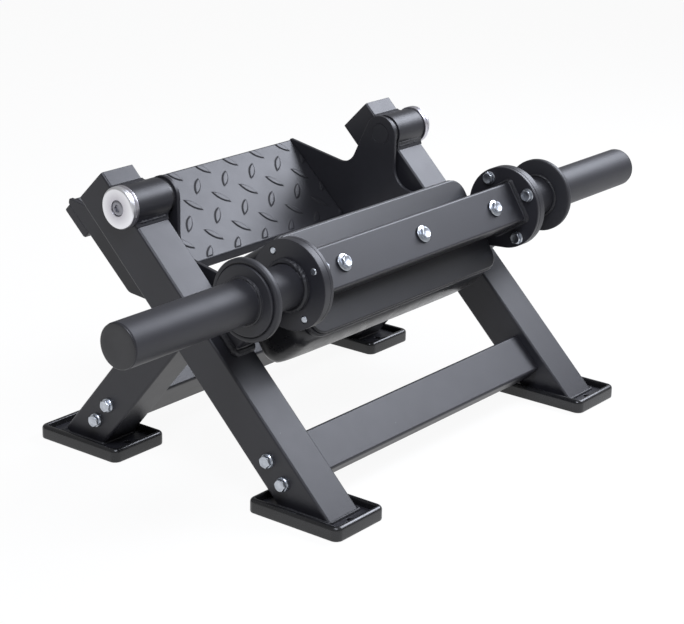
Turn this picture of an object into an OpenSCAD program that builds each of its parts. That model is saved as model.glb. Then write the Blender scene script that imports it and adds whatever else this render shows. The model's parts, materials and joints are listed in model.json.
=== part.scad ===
// Tibialis trainer: a foot cradle that swings between two bent-leg stands and carries weight plates.
// X runs along the bar, Y to the rear, Z up. The origin is the middle of the footprint, on the floor.

/* [Stand] */
// Side of the square tube of the stand and of the cradle's bar
tube = 50; // [44:1:60]
// Wall of the square tubes
tube_wall = 3; // [2:0.5:5]
// Outer corner radius of the square tubes
tube_round = 3; // [2:0.5:7]
// Slope of the two main tubes, from the floor
main_angle = 44.7; // [43:0.1:48]
// Length of a main tube along its front face, down to the floor line
main_len = 469; // [440:1:520]
// Slope of the two rear legs, from the floor
leg_angle = 50.3; // [47:0.1:56]
// Distance on the floor from a main tube's front face to the rear leg's centre line
base_len = 379.7; // [355:0.1:410]
// Gap between a main tube and the cradle's side plate
side_gap = 9.5; // [6:0.5:12]

/* [Crossbars] */
// Height of a crossbar's section, along the tube that it is bolted to
cross_h = 51; // [46:1:60]
// Thickness of a crossbar's section
cross_t = 26; // [24:1:30]
// Wall of a crossbar
cross_wall = 2.5; // [2:0.25:4]
// Clearance between the front crossbar and the lip of a front foot
cross_clear = 5.1; // [0.3:0.1:12]
// Distance from the floor line to the rear crossbar's middle, along the rear leg
cross_leg_up = 63; // [61:1:90]
// Thickness of the tapped plate in each end of a crossbar
cross_end_t = 6; // [5:0.5:10]
// Distance between the two bolts at a crossbar's end
frame_bolt_gap = 30; // [26:1:34]

/* [Feet] */
// Width of a rubber foot
foot_w = 82; // [74:1:90]
// Length of a rubber foot
foot_l = 123.5; // [114:0.5:135]
// Height of a rubber foot's lip
foot_h = 16; // [14:0.5:20]
// Thickness of the rubber under the foot plate
foot_floor = 3; // [2:0.5:5]
// Width of the lip round the foot plate
foot_lip = 7; // [5:0.5:9]
// Corner radius of a rubber foot, seen from above
foot_round = 9; // [9:0.5:14]
// Thickness of the steel foot plate
foot_plate_t = 6; // [4:0.5:8]
// Distance that a foot's middle lies outboard of its tube's middle
foot_out = 1; // [0:0.5:4]
// Distance from a front foot's front edge to its tube
main_toe = 23.7; // [18:0.1:30]
// Distance from a rear foot's front edge to its tube
leg_toe = 36.5; // [28:0.5:40]
// Radius of the floor bolt hole in each foot
floor_hole_r = 4; // [3:0.25:5]

/* [Pivot] */
// Distance from a main tube's top end down to the pivot
pivot_down = 46.7; // [40:0.1:60]
// Height of the pivot above the main tube's front face
pivot_proud = 1.8; // [0:0.1:8]
// Outer radius of the pivot hub
hub_r = 21.75; // [19.5:0.25:24]
// Distance that the hub stands out past the tube's outer face
hub_proud = 0.5; // [0.3:0.1:3]
// Distance from the side plate to the hub's inner end
hub_gap = 7; // [4:0.25:7]
// Leg of the weld between the hub and the main tube
hub_weld = 7; // [3:0.5:8]
// Radius of the stub axle
axle_r = 12.5; // [9:0.25:14]
// Wall of the bush
bush_wall = 3.5; // [2:0.25:4]
// Radial running clearance between axle and bush
run_fit = 0.05; // [0.02:0.01:0.1]
// Radius of the thrust washer
thrust_r = 20; // [17:0.5:24]
// Radius of the axle cap
cap_r = 23.7; // [22:0.1:27]
// Thickness of the axle cap
cap_t = 11; // [8:0.5:14]
// Chamfer of the axle cap
cap_chamfer = 2.2; // [1:0.1:3]
// Radius of the cap screw's head
cap_screw_r = 8.5; // [5:0.25:8]

/* [Cradle] */
// Clear width between the side plates
tread_w = 394; // [360:1:430]
// Thickness of a side plate
side_t = 5; // [4:0.5:10]
// Distance from the pivot to the bar's axis
arm_reach = 198.7; // [190:0.1:215]
// Angle of the arm below the level, at rest
arm_drop = 17.9; // [16:0.1:22]
// Radius of the side plate's lobe about the pivot
lobe_r = 22.5; // [22:0.5:28]
// Lean of the lobe's rear edge
lobe_lean = 24; // [15:1:30]
// Distance of the tread's top edge behind the pivot
tread_back = 146.3; // [140:0.1:155]
// Distance of the tread's top edge below the pivot
tread_drop = 30.7; // [25:0.1:36]
// Slope of the tread, from the level
tread_angle = 43; // [40:0.5:46]
// Length of the tread down its slope
tread_len = 124; // [115:1:130]
// Thickness of the tread plate
tread_t = 4; // [3:0.5:6]
// Distance from the side plates' top corners down to the tread's top edge
tread_edge = 1; // [0:0.5:6]
// Length of the lip turned down at the tread's lower edge
tread_lip = 10; // [6:0.5:14]
// Depth from the tread's face to the side plates' rear edge
side_depth = 5.5; // [3:0.5:12]
// Width of the rear tie bar
tie_w = 42; // [30:1:50]
// Thickness of the rear tie bar
tie_t = 10.5; // [5:0.5:12]
// Distance from the tread's top edge down to the tie bar
tie_down = 3; // [3:0.5:12]
// Corner radius of the tie bar
tie_round = 3; // [2:0.5:10]

/* [Tread pattern] */
// Length of a raised lozenge
lozenge_l = 27; // [18:0.5:30]
// Width of a raised lozenge
lozenge_w = 7.5; // [5:0.25:9]
// Height of a raised lozenge
lozenge_h = 1.2; // [0.8:0.1:2]
// Pitch of the lozenges along the bar
pitch_x = 51; // [46:1:60]
// Pitch of the lozenges down the slope
pitch_s = 45; // [42:1:56]

/* [Bar and pad] */
// Angle that the bar's front face is turned up from the vertical
bar_tilt = 32.8; // [28:0.1:38]
// Leg of the weld between the bar and the side plates
bar_weld = 4; // [3:0.5:6.5]
// Gap between an end of the pad plate and the side plate
pad_plate_side = 22; // [16:0.5:40]
// Height of the pad plate above the bar's axis
pad_plate_up = 55.5; // [50:0.5:60]
// Depth of the pad plate below the bar's axis
pad_plate_low = 60; // [50:0.5:66]
// Thickness of the pad plate
pad_plate_t = 4; // [3:0.5:6]
// Corner radius of the pad plate
pad_plate_round = 18; // [8:1:22]
// Thickness of the pad's board
board_t = 8; // [6.5:0.5:12]
// Depth of the shadow groove between the plate and the board
board_groove = 2; // [1:0.25:3]
// Gap between an end of the toe pad and the side plate
pad_side = 12; // [8:0.5:30]
// Height of the toe pad
pad_h = 117.5; // [110:0.5:130]
// Distance that the toe pad's middle lies below the bar's axis
pad_low = 2.5; // [0:0.5:8]
// Thickness of the toe pad
pad_t = 81; // [60:1:86]
// Rounding of the toe pad's rear edges
pad_round = 20; // [16:1:30]
// Crown of the toe pad's rear face
pad_crown = 7; // [3:0.5:10]
// Distance of the outer pad bolts from the pad plate's ends
pad_bolt_end = 30.5; // [24:0.5:50]

/* [Weight horns] */
// Radius of the bolted discs
disc_r = 50; // [48:0.5:56]
// Thickness of the horn's disc
flange_t = 9.5; // [6:0.5:10]
// Radius of the disc bolts' circle
disc_bolt_circle = 40; // [39.5:0.25:42]
// Radius of a weight horn
horn_r = 24; // [23.5:0.25:25.5]
// Wall of a weight horn
horn_wall = 4; // [3:0.5:6]
// Length of a weight horn, from its disc to its end
horn_len = 253.8; // [200:0.1:320]
// Chamfer of the horn's outer end
horn_chamfer = 1.2; // [0.5:0.1:2]
// Leg of the weld round the horn
horn_weld = 5; // [3:0.5:5.5]
// Distance from the horn's disc to the collar
collar_at = 62.5; // [58:0.5:80]
// Radius of the collar
collar_r = 45; // [40:0.5:50]
// Thickness of the collar's rim
collar_t = 8; // [5:0.5:10]
// Radius of the collar's raised face
collar_step_r = 38.5; // [33:0.5:39]
// Height of the collar's raised face
collar_step = 2; // [1:0.25:3]
// Leg of the weld between the horn and the collar's outer face
collar_weld = 3; // [2:0.5:4]
// Depth that an end plug reaches into its horn
plug_depth = 18; // [10:1:25]

/* [Rest stops] */
// Width of a stop post along the bar
post_w = 28; // [24:1:34]
// Depth of a stop post along the main tube
post_d = 40; // [30:1:44]
// Wall of a stop post
post_wall = 3; // [2:0.5:5]
// Distance of a stop post outboard of the main tube's inner face
post_in = 1.5; // [1:0.5:4]
// Leg of the weld round a stop post
post_weld = 7; // [3:0.5:8]
// Thickness of the rubber rest pad
rest_pad_t = 6; // [4:0.5:10]

/* [Bolts] */
// Radius of the frame bolts' shanks
frame_bolt_r = 4; // [3:0.25:5.5]
// Radius of the pad bolts' shanks
pad_bolt_r = 4; // [3:0.25:5]
// Radius of the disc bolts' shanks
disc_bolt_r = 4; // [3:0.25:4.5]
// Width across flats of a head, as a share of the shank's radius
head_share = 3.2; // [3:0.1:3.4]
// Height of a head, as a share of the shank's radius
head_rise = 1.3; // [1:0.1:1.6]
// Thickness of the flat washers
washer_t = 1.8; // [1:0.1:2.5]

/* [Clearances] */
// Clearance of parts that are pressed or welded into each other
seat_gap = 0.05; // [0.02:0.01:0.15]
// Film of paint between flat faces that meet
film = 0.02; // [0.01:0.01:0.05]
// Clearance of bolts in plain holes
hole_gap = 0.25; // [0.15:0.05:0.6]
// Clearance of moving faces and soft parts
free_gap = 0.3; // [0.2:0.05:0.5]

/* [Hidden] */
$fn = 48;
side_in = tread_w / 2;
side_out = side_in + side_t;
tube_in = side_out + side_gap;
tube_out = tube_in + tube;
tube_mid = tube_in + tube / 2;
flange_out = side_out + flange_t;
horn_end = flange_out + horn_len;
collar_x = flange_out + collar_at;
plate_top = foot_floor + foot_plate_t;
cap_in = tube_out + hub_proud + free_gap;
hub_in = side_out + hub_gap;
bush_r = axle_r + run_fit + bush_wall;
reach = main_len + base_len;
cross_lead = cross_t / 2;
pad_plate_w = 2 * (side_in - pad_plate_side);
pad_w = 2 * (side_in - pad_side);
pad_bolt_gap = pad_plate_w / 2 - pad_bolt_end;
ink = [0.10, 0.10, 0.11];
steel_black = [0.17, 0.17, 0.19];
zinc = [0.80, 0.81, 0.83];

// Places in the side view, first with the main tube's floor line at y = 0
pivot_up = main_len - pivot_down;
pivot_y0 = pivot_up * cos(main_angle) - pivot_proud * sin(main_angle);
pivot_z = pivot_up * sin(main_angle) + pivot_proud * cos(main_angle);
tread_down = [-cos(tread_angle), -sin(tread_angle)];
tread_rear = [sin(tread_angle), -cos(tread_angle)];
main_front0 = plate_top / tan(main_angle) - main_toe;
tie_rear0 = pivot_y0 + tread_back + tie_down * tread_down[0] + (side_depth + tie_t) * tread_rear[0];
main_y = -(main_front0 + tie_rear0) / 2;
leg_y = main_y + base_len;
pivot_y = main_y + pivot_y0;
bar_from_pivot = arm_reach * [-cos(arm_drop), -sin(arm_drop)];
bar_y = pivot_y + bar_from_pivot[0];
bar_z = pivot_z + bar_from_pivot[1];
bar_up = (bar_y - main_y) * cos(main_angle) + bar_z * sin(main_angle);
bar_off = -(bar_y - main_y) * sin(main_angle) + bar_z * cos(main_angle);
main_foot_y = main_y + main_front0;
leg_edge_y = leg_y - plate_top / tan(leg_angle) - tube / 2 / sin(leg_angle);
leg_foot_y = leg_edge_y - leg_toe;
rest_top = bar_off - horn_r - free_gap;
board_front = tube / 2 + pad_plate_t;
board_rear = board_front + board_t;
cross_main_rear = tube / 2 - cross_lead + cross_t;
cross_corner = tube_round * (sin(main_angle) + cos(main_angle) - 1);
cross_main_up = cross_h / 2
    + (foot_h + cross_clear - cross_corner + cross_main_rear * cos(main_angle)) / sin(main_angle);

// Placing: each module turns its children into the frame that its name says
module along_main() translate([0, main_y, 0]) rotate([main_angle - 90, 0, 0]) children();
module along_leg() translate([0, leg_y, 0]) rotate([90 - leg_angle, 0, 0]) children();
module at_pivot() translate([0, pivot_y, pivot_z]) children();
module at_bar() translate([0, bar_y, bar_z]) rotate([-bar_tilt, 0, 0]) children();
module at_disc() translate([0, bar_y, bar_z]) children();
module at_tread() translate([0, pivot_y + tread_back, pivot_z - tread_drop])
    rotate([tread_angle - 90, 0, 0]) children();
module left() mirror([1, 0, 0]) children();
module both() {
    children();
    mirror([1, 0, 0]) children();
}

// An outline in the side view, made solid between two places along the bar
module slab(x0, x1) translate([x0, 0, 0]) rotate([90, 0, 90]) linear_extrude(x1 - x0) children();
// An outline in the front view, made solid between two depths
module sheet(y0, y1) translate([0, y1, 0]) rotate([90, 0, 0]) linear_extrude(y1 - y0) children();
// A round bar along X
module rod(x0, x1, r) translate([x0, 0, 0]) rotate([0, 90, 0]) cylinder(h = x1 - x0, r = r);
// A revolved profile about X, its points given as [radius, x]
module turned(points) rotate([0, 90, 0]) rotate_extrude() polygon(points);

module rounded_rect(w, h, r) {
    square([w, h - 2 * r], center = true);
    square([w - 2 * r, h], center = true);
    for (x = [-1, 1], y = [-1, 1]) translate([x * (w / 2 - r), y * (h / 2 - r)]) circle(r);
}

module tube_section(w, h, r, wall) difference() {
    rounded_rect(w, h, r);
    rounded_rect(w - 2 * wall, h - 2 * wall, max(r - wall, 0.5));
}

// An outline through the given corners, each [y, z, radius], with arcs at the corners
function unit(v) = v / norm(v);
function corner_arc(a, b, c, r, n = 10) =
    let (u = unit(a - b), v = unit(c - b), half = acos(u * v) / 2)
    let (centre = b + unit(u + v) * r / sin(half))
    let (from = b + u * r / tan(half) - centre, to = b + v * r / tan(half) - centre)
    let (start = atan2(from[1], from[0]), turn = (atan2(to[1], to[0]) - start + 540) % 360 - 180)
    [for (k = [0:n]) centre + r * [cos(start + turn * k / n), sin(start + turn * k / n)]];
function flat(p) = [p[0], p[1]];
function rounded_path(p) = [for (i = [0:len(p) - 1])
    let (before = flat(p[(i + len(p) - 1) % len(p)]), here = flat(p[i]), after = flat(p[(i + 1) % len(p)]))
    each (p[i][2] > 0 ? corner_arc(before, here, after, p[i][2]) : [here])];

// A hex head with a chamfered top and a round flange, standing on z = 0
module hex_head(r) {
    across = head_share * r;
    rise = head_rise * r;
    flange = rise / 5;
    cylinder(h = flange, r = across * 0.62);
    intersection() {
        cylinder(h = rise, r = across / sqrt(3), $fn = 6);
        rotate_extrude() polygon([[0, 0], [across * 0.6, 0], [across * 0.6, rise * 0.8],
            [across * 0.46, rise], [0, rise]]);
    }
}
// A bolt along +X, its head's underside at x0 and its tip at x1
module bolt_in(x0, x1, r) translate([x0, 0, 0]) rotate([0, -90, 0]) {
    hex_head(r);
    translate([0, 0, x0 - x1]) cylinder(h = x1 - x0 + 0.5, r = r - seat_gap);
}

// A concave weld fillet in the corner of two faces, with equal legs
function weld_points(leg) = [[0, 0], [leg, 0], [leg * 0.55, leg * 0.2], [leg * 0.2, leg * 0.55], [0, leg]];

// Stand
module below_plates() translate([-reach, -reach, plate_top - reach]) cube([2 * reach, 2 * reach, reach]);

module frame_bolt_places(up) for (k = [-1, 1]) translate([0, 0, up + k * frame_bolt_gap / 2]) children();

module main_tube() color(steel_black) difference() {
    along_main() difference() {
        union() {
            translate([tube_mid, tube / 2, 0]) linear_extrude(main_len)
                tube_section(tube, tube, tube_round, tube_wall);
            translate([tube_mid, tube / 2, main_len - tube_wall]) linear_extrude(tube_wall)
                rounded_rect(tube, tube, tube_round);
        }
        translate([0, -pivot_proud, pivot_up]) rod(tube_in - 1, tube_out + 1, hub_r + seat_gap);
        translate([0, tube / 2, 0]) frame_bolt_places(cross_main_up)
            rod(tube_in - 1, tube_out + 1, frame_bolt_r + hole_gap);
    }
    below_plates();
}

module rear_leg() color(steel_black) difference() {
    along_leg() difference() {
        translate([tube_mid, 0, 0]) linear_extrude(base_len)
            tube_section(tube, tube, tube_round, tube_wall);
        frame_bolt_places(cross_leg_up) rod(tube_in - 1, tube_out + 1, frame_bolt_r + hole_gap);
    }
    below_plates();
    along_main() translate([0, tube - reach, -reach]) cube([reach, reach, 3 * reach]);
}

module crossbar(up, bolt_depth) {
    mid = bolt_depth - cross_lead + cross_t / 2;
    difference() {
        union() {
            translate([0, mid, up]) slab(-tube_in, tube_in)
                tube_section(cross_t, cross_h, tube_round, cross_wall);
            both() translate([0, mid, up]) slab(tube_in - cross_end_t, tube_in)
                rounded_rect(cross_t - cross_wall, cross_h - cross_wall, tube_round / 2);
        }
        both() translate([0, bolt_depth, 0]) {
            frame_bolt_places(up) rod(tube_in - 2 * cross_end_t, tube_in + 1, frame_bolt_r);
            translate([0, 0, up]) rod(tube_in - 2 * cross_end_t, tube_in + 1, frame_bolt_r * 0.6);
        }
    }
}
module front_crossbar() color(steel_black) along_main() crossbar(cross_main_up, tube / 2);
module rear_crossbar() color(steel_black) along_leg() crossbar(cross_leg_up, 0);

module pivot_hub() color(steel_black) along_main() difference() {
    union() {
        translate([0, -pivot_proud, pivot_up]) rod(hub_in, tube_out + hub_proud, hub_r);
        for (k = [-1, 1]) translate([0, 0, pivot_up + k * hub_r * 0.985]) slab(tube_in, tube_out)
            polygon([for (p = weld_points(hub_weld)) [-p[1], k * p[0]]]);
        for (k = [-1, 1]) translate([0, 0, pivot_up + k * hub_r * 0.9]) slab(tube_in, tube_out)
            polygon([[0, k * hub_r * 0.085], [-hub_weld, k * hub_r * 0.085], [-hub_weld * 0.8, -k], [0, -k]]);
    }
    translate([0, -pivot_proud, pivot_up]) rod(hub_in - 1, tube_out + hub_proud + 1, bush_r + seat_gap);
}

module bush() color(ink) at_pivot() difference() {
    rod(hub_in, tube_out + hub_proud, bush_r);
    rod(hub_in - 1, tube_out + hub_proud + 1, axle_r + run_fit);
}

module post_place() translate([tube_in + post_in + post_w / 2, 0, bar_up]) rotate([90, 0, 0]) children();
module stop_post() color(steel_black) along_main() post_place() {
    difference() {
        union() {
            linear_extrude(rest_top - rest_pad_t) rounded_rect(post_w, post_d, 3);
            hull() {
                linear_extrude(0.5) rounded_rect(post_w + 2 * post_in - 1, post_d + 2 * post_weld, 3, $fn = 32);
                linear_extrude(post_weld) rounded_rect(post_w, post_d, 3, $fn = 32);
            }
        }
        translate([0, 0, -1]) linear_extrude(rest_top)
            rounded_rect(post_w - 2 * post_wall, post_d - 2 * post_wall, 1);
    }
}
module rest_pad() color(ink) along_main() post_place()
    translate([horn_weld / 2, 0, rest_top - rest_pad_t]) linear_extrude(rest_pad_t)
        rounded_rect(post_w - horn_weld, post_d - 2, 3);

// A foot's outline from above, its front edge on y = 0
module foot_outline(inset) translate([tube_mid + foot_out, foot_l / 2])
    rounded_rect(foot_w - 2 * inset, foot_l - 2 * inset, max(foot_round - inset, 3));
module foot(front_y, toe) color(ink) translate([0, front_y, 0]) difference() {
    edge = foot_lip * 0.6;
    hull() {
        linear_extrude(foot_h - edge) foot_outline(0, $fn = 32);
        for (a = [30, 60, 90]) linear_extrude(foot_h - edge + edge * sin(a))
            foot_outline(edge * (1 - cos(a)), $fn = 32);
    }
    translate([0, 0, foot_floor]) linear_extrude(foot_h) foot_outline(foot_lip);
    foot_hole(toe);
}
module foot_plate(front_y, toe) color(steel_black) translate([0, front_y, 0]) difference() {
    translate([0, 0, foot_floor]) linear_extrude(foot_plate_t) foot_outline(foot_lip + seat_gap);
    foot_hole(toe);
}
module foot_hole(toe) translate([tube_mid + foot_out, (toe + foot_lip) / 2, -1])
    cylinder(h = foot_h + 2, r = floor_hole_r);

module frame_bolt_row() translate([tube_out + washer_t, 0, 0]) mirror([1, 0, 0])
    bolt_in(0, tube + washer_t + 1.6 * cross_end_t, frame_bolt_r);
module front_frame_bolts() color(zinc) both() along_main()
    translate([0, tube / 2, 0]) frame_bolt_places(cross_main_up) frame_bolt_row();
module rear_frame_bolts() color(zinc) both() along_leg() frame_bolt_places(cross_leg_up) frame_bolt_row();
module washer_ring(r) difference() {
    rod(0, washer_t, r * 2.05);
    rod(-1, washer_t + 1, r + hole_gap);
}
module frame_washers() color(zinc) both() {
    along_main() translate([tube_out, tube / 2, 0]) frame_bolt_places(cross_main_up)
        washer_ring(frame_bolt_r);
    along_leg() translate([tube_out, 0, 0]) frame_bolt_places(cross_leg_up) washer_ring(frame_bolt_r);
}

// Cradle: the side plate's corners are measured from the pivot
tread_top = [tread_back, -tread_drop];
function on_tread(down, behind) = tread_top + down * tread_down + behind * tread_rear;
function corner(p, r) = [p[0], p[1], r];
disc_low = bar_from_pivot + disc_r * [-sin(3), -cos(3)];
disc_tail = bar_from_pivot + disc_r * [0.57, -0.57];
arm_root = [-lobe_r, disc_tail[1] + tan(11.6) * (-lobe_r - disc_tail[0])];
side_corners = [
    corner([-lobe_r, lobe_r], lobe_r * 0.998),
    corner([lobe_r * tan(45 - lobe_lean / 2), lobe_r], lobe_r * 0.998),
    corner([tread_back * 0.33, -tread_drop - 17.5], 22),
    corner(on_tread(-1.5, 0), 2.5),
    corner(on_tread(2, side_depth), 1.5),
    corner(on_tread(tread_len + 7, side_depth), 12),
    corner(on_tread(tread_len + 7, side_depth) + [-30, -3], 0),
    corner(disc_low, 0),
    corner(bar_from_pivot, 0),
    corner(disc_tail, 0),
    corner(arm_root, 28)
];
module disc_bolt_places() at_disc() for (k = [0:3]) rotate([57 + 90 * k, 0, 0])
    translate([0, disc_bolt_circle, 0]) children();
module side_plate() color(steel_black) difference() {
    union() {
        at_pivot() slab(side_in, side_out) polygon(rounded_path(side_corners));
        at_disc() rod(side_in, side_out, disc_r);
    }
    at_pivot() rod(side_in - 1, side_out + 1, axle_r + seat_gap);
    disc_bolt_places() rod(side_in - 1, side_out + 1, disc_bolt_r + hole_gap);
}

module lozenge() intersection_for(k = [-1, 1])
    translate([0, k * (lozenge_arc - lozenge_w / 2)]) circle(lozenge_arc);
lozenge_arc = (pow(lozenge_l, 2) + pow(lozenge_w, 2)) / (4 * lozenge_w);
lozenge_x = -7;
lozenge_down = 29;
columns = ceil(tread_w / pitch_x / 2) + 1;
rows = ceil(tread_len / pitch_s) + 1;
module tread_pattern() intersection() {
    translate([-tread_w / 2, -tread_len]) square([tread_w, tread_len - tread_edge]);
    for (i = [-columns:columns], j = [-1:rows]) {
        translate([lozenge_x + i * pitch_x, -lozenge_down - j * pitch_s]) rotate(45) lozenge();
        translate([lozenge_x + (i + 0.5) * pitch_x, -lozenge_down - (j - 0.5) * pitch_s])
            rotate(-45) lozenge();
    }
}
module tread_plate() color(steel_black) at_tread() {
    translate([-tread_w / 2, 0, 0]) rotate([90, 0, 90]) linear_extrude(tread_w) polygon([
        [0, -tread_edge], [0, -tread_len], lip_end, lip_end + tread_t * lip_in,
        [tread_t, -tread_len + tread_t * (1 - sin(tread_angle)) / cos(tread_angle)], [tread_t, -tread_edge]]);
    sheet(-lozenge_h, 0.5) tread_pattern();
}
// The lip's lower corner, straight below the face's lower edge, and the way behind it, as depth and height
lip_end = [tread_lip * cos(tread_angle), -tread_len - tread_lip * sin(tread_angle)];
lip_in = [sin(tread_angle), cos(tread_angle)];

module rear_tie_bar() color(steel_black) at_tread() sheet(side_depth + film, side_depth + tie_t)
    translate([0, -tie_down - tie_w / 2]) rounded_rect(2 * side_out, tie_w, tie_round);

module bar_tube() color(steel_black) at_bar() difference() {
    union() {
        slab(-side_in + film, side_in - film) rounded_rect(tube, tube, tube_round);
        both() hull() {
            slab(side_in - 0.5, side_in - film)
                rounded_rect(tube + 2 * bar_weld, tube + 2 * bar_weld, tube_round + bar_weld, $fn = 32);
            slab(side_in - bar_weld, side_in) rounded_rect(tube, tube, tube_round, $fn = 32);
        }
    }
    slab(-side_in - 1, side_in + 1)
        rounded_rect(tube - 2 * tube_wall, tube - 2 * tube_wall, max(tube_round - tube_wall, 0.5));
    pad_bolt_places() translate([0, -tube / 2 - 1, 0]) spike(tube + 2, pad_bolt_r + hole_gap);
}

// A round bar towards the rear
module spike(h, r) rotate([-90, 0, 0]) cylinder(h = h, r = r);
module pad_bolt_places() for (k = [-1:1]) translate([k * pad_bolt_gap, 0, 0]) children();

module pad_outline(inset) translate([0, (pad_plate_up - pad_plate_low) / 2])
    rounded_rect(pad_plate_w - 2 * inset, pad_plate_up + pad_plate_low - 2 * inset, pad_plate_round - inset);
module pad_plate() color(steel_black) at_bar() difference() {
    sheet(tube / 2, board_front) pad_outline(0);
    pad_bolt_places() translate([0, tube / 2 - 1, 0]) spike(pad_plate_t + 2, pad_bolt_r + hole_gap);
}
tee_barrel_r = pad_bolt_r + 1.6;
tee_flange_r = 2.4 * pad_bolt_r;
tee_flange_t = 1.4;
module pad_board() color("burlywood") at_bar() difference() {
    union() {
        sheet(board_front, board_front + board_groove) pad_outline(4);
        sheet(board_front + board_groove, board_rear) pad_outline(0);
    }
    pad_bolt_places() {
        translate([0, board_front - 1, 0]) spike(board_t + 2, tee_barrel_r + seat_gap);
        translate([0, board_rear - tee_flange_t - seat_gap, 0]) spike(board_t, tee_flange_r + seat_gap);
    }
}
module pad_tee_nuts() color(zinc) at_bar() pad_bolt_places() difference() {
    union() {
        translate([0, board_front, 0]) spike(board_t - 0.1, tee_barrel_r);
        translate([0, board_rear - tee_flange_t, 0]) spike(tee_flange_t - 0.1, tee_flange_r);
    }
    translate([0, board_front - 1, 0]) spike(board_t + 2, pad_bolt_r);
}
module pad_bolts() color(zinc) at_bar() pad_bolt_places() rotate([0, 0, 90])
    bolt_in(-tube / 2 - washer_t, board_rear - 0.5, pad_bolt_r);
module pad_washers() color(zinc) at_bar() pad_bolt_places() rotate([0, 0, 90])
    translate([-tube / 2 - washer_t, 0, 0]) washer_ring(pad_bolt_r);

// The toe pad is lofted through rounded outlines: drawn in at the board, full, then rolled over to its crown
pad_front = board_rear + free_gap;
function pad_ring(y, inset, round) = [for (q = [0:3], k = [0:7])
    let (a = 90 * q + 90 * k / 7, sx = q == 0 || q == 3 ? 1 : -1, sz = q < 2 ? 1 : -1)
    [sx * (pad_w / 2 - inset - round) + round * cos(a), y,
     sz * (pad_h / 2 - inset - round) + round * sin(a) - pad_low]];
pad_flat = pad_t - pad_round - pad_crown;
pad_rings = [
    for (k = [0:3]) pad_ring(pad_front + 4 * k, 7 * pow(1 - k / 3, 2), 16),
    for (a = [0:18:90]) pad_ring(pad_front + pad_flat + pad_round * sin(a),
        pad_round * (1 - cos(a)), 16 + pad_round * 0.2 * sin(a)),
    for (k = [1:3]) pad_ring(pad_front + pad_t - pad_crown + pad_crown * (1 - pow(1 - k / 3.4, 2)),
        pad_round + (pad_h / 2 - pad_round - 12) * k / 3, 20 - k * 5)
];
ring_n = 32;
module toe_pad() color([0.13, 0.13, 0.14]) at_bar() polyhedron(
    points = [for (ring = pad_rings) each ring],
    faces = [
        [for (k = [0:ring_n - 1]) k],
        for (j = [0:len(pad_rings) - 2], k = [0:ring_n - 1])
            let (a = j * ring_n + k, b = j * ring_n + (k + 1) % ring_n)
            each [[a, a + ring_n, b + ring_n], [a, b + ring_n, b]],
        [for (k = [ring_n - 1:-1:0]) (len(pad_rings) - 1) * ring_n + k]
    ]);

// Weight horns
module horn_disc() color(steel_black) difference() {
    at_disc() rod(side_out, flange_out, disc_r);
    disc_bolt_places() rod(side_out - 1, flange_out + 1, disc_bolt_r);
}
module weight_horn() color(steel_black) at_disc() difference() {
    union() {
        translate([flange_out, 0, 0]) turned([[0, 0], [horn_r + horn_weld, 0],
            [horn_r + horn_weld * 0.45, horn_weld * 0.3], [horn_r, horn_weld], [0, horn_weld]]);
        rod(flange_out, horn_end - horn_chamfer, horn_r);
        translate([collar_x + collar_t + collar_step + film, 0, 0]) turned([[0, 0],
            [horn_r + collar_weld, 0], [horn_r, collar_weld], [0, collar_weld]]);
        translate([horn_end - horn_chamfer, 0, 0]) turned([[0, 0], [horn_r, 0],
            [horn_r - horn_chamfer, horn_chamfer], [0, horn_chamfer]]);
    }
    rod(flange_out - 1, horn_end + 1, horn_r - horn_wall);
}
module collar() color(steel_black) at_disc() translate([collar_x, 0, 0]) difference() {
    union() {
        turned([[0, 0], [collar_r - 1, 0], [collar_r, 1], [collar_r, collar_t - 1],
            [collar_r - 1, collar_t], [0, collar_t]]);
        rod(0, collar_t + collar_step, collar_step_r);
    }
    rod(-1, collar_t + collar_step + 1, horn_r + seat_gap);
}
module end_plug() color(ink) at_disc() difference() {
    rod(horn_end - plug_depth, horn_end, horn_r - horn_wall - seat_gap);
    rod(horn_end - plug_depth - 1, horn_end - 3, horn_r - horn_wall - 3);
}
module disc_bolts() color(zinc) both() disc_bolt_places()
    bolt_in(side_in - film, flange_out + 0.4, disc_bolt_r);

// Pivot pieces that turn with the cradle
module stub_axle() color(zinc) at_pivot() difference() {
    rod(side_in, cap_in, axle_r);
    rod(cap_in - 22, cap_in + 1, cap_screw_r * 0.6);
}
module thrust_washers() color(ink) both() at_pivot() difference() {
    rod(side_out, hub_in - free_gap, thrust_r);
    rod(side_out - 1, hub_in + 1, axle_r + seat_gap);
}
cap_recess = cap_t * 0.25;
module axle_cap() color([0.75, 0.75, 0.77]) at_pivot() translate([cap_in, 0, 0]) difference() {
    turned([[0, 0], [cap_r - 0.6, 0], [cap_r, 0.6], [cap_r, cap_t - cap_chamfer],
        [cap_r - cap_chamfer, cap_t], [0, cap_t]]);
    rod(cap_t - cap_recess, cap_t + 1, cap_screw_r + hole_gap);
    rod(-1, cap_t + 1, cap_screw_r * 0.6 + hole_gap);
}
module cap_screws() color(zinc) both() at_pivot() difference() {
    union() {
        rod(cap_in + cap_t - cap_recess, cap_in + cap_t - 0.4, cap_screw_r);
        rod(cap_in - 18, cap_in + cap_t - cap_recess + 0.5, cap_screw_r * 0.6 - seat_gap);
    }
    translate([cap_in + cap_t - 4, 0, 0]) rotate([0, 90, 0])
        cylinder(h = 6, r = cap_screw_r * 0.5, $fn = 6);
}

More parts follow.
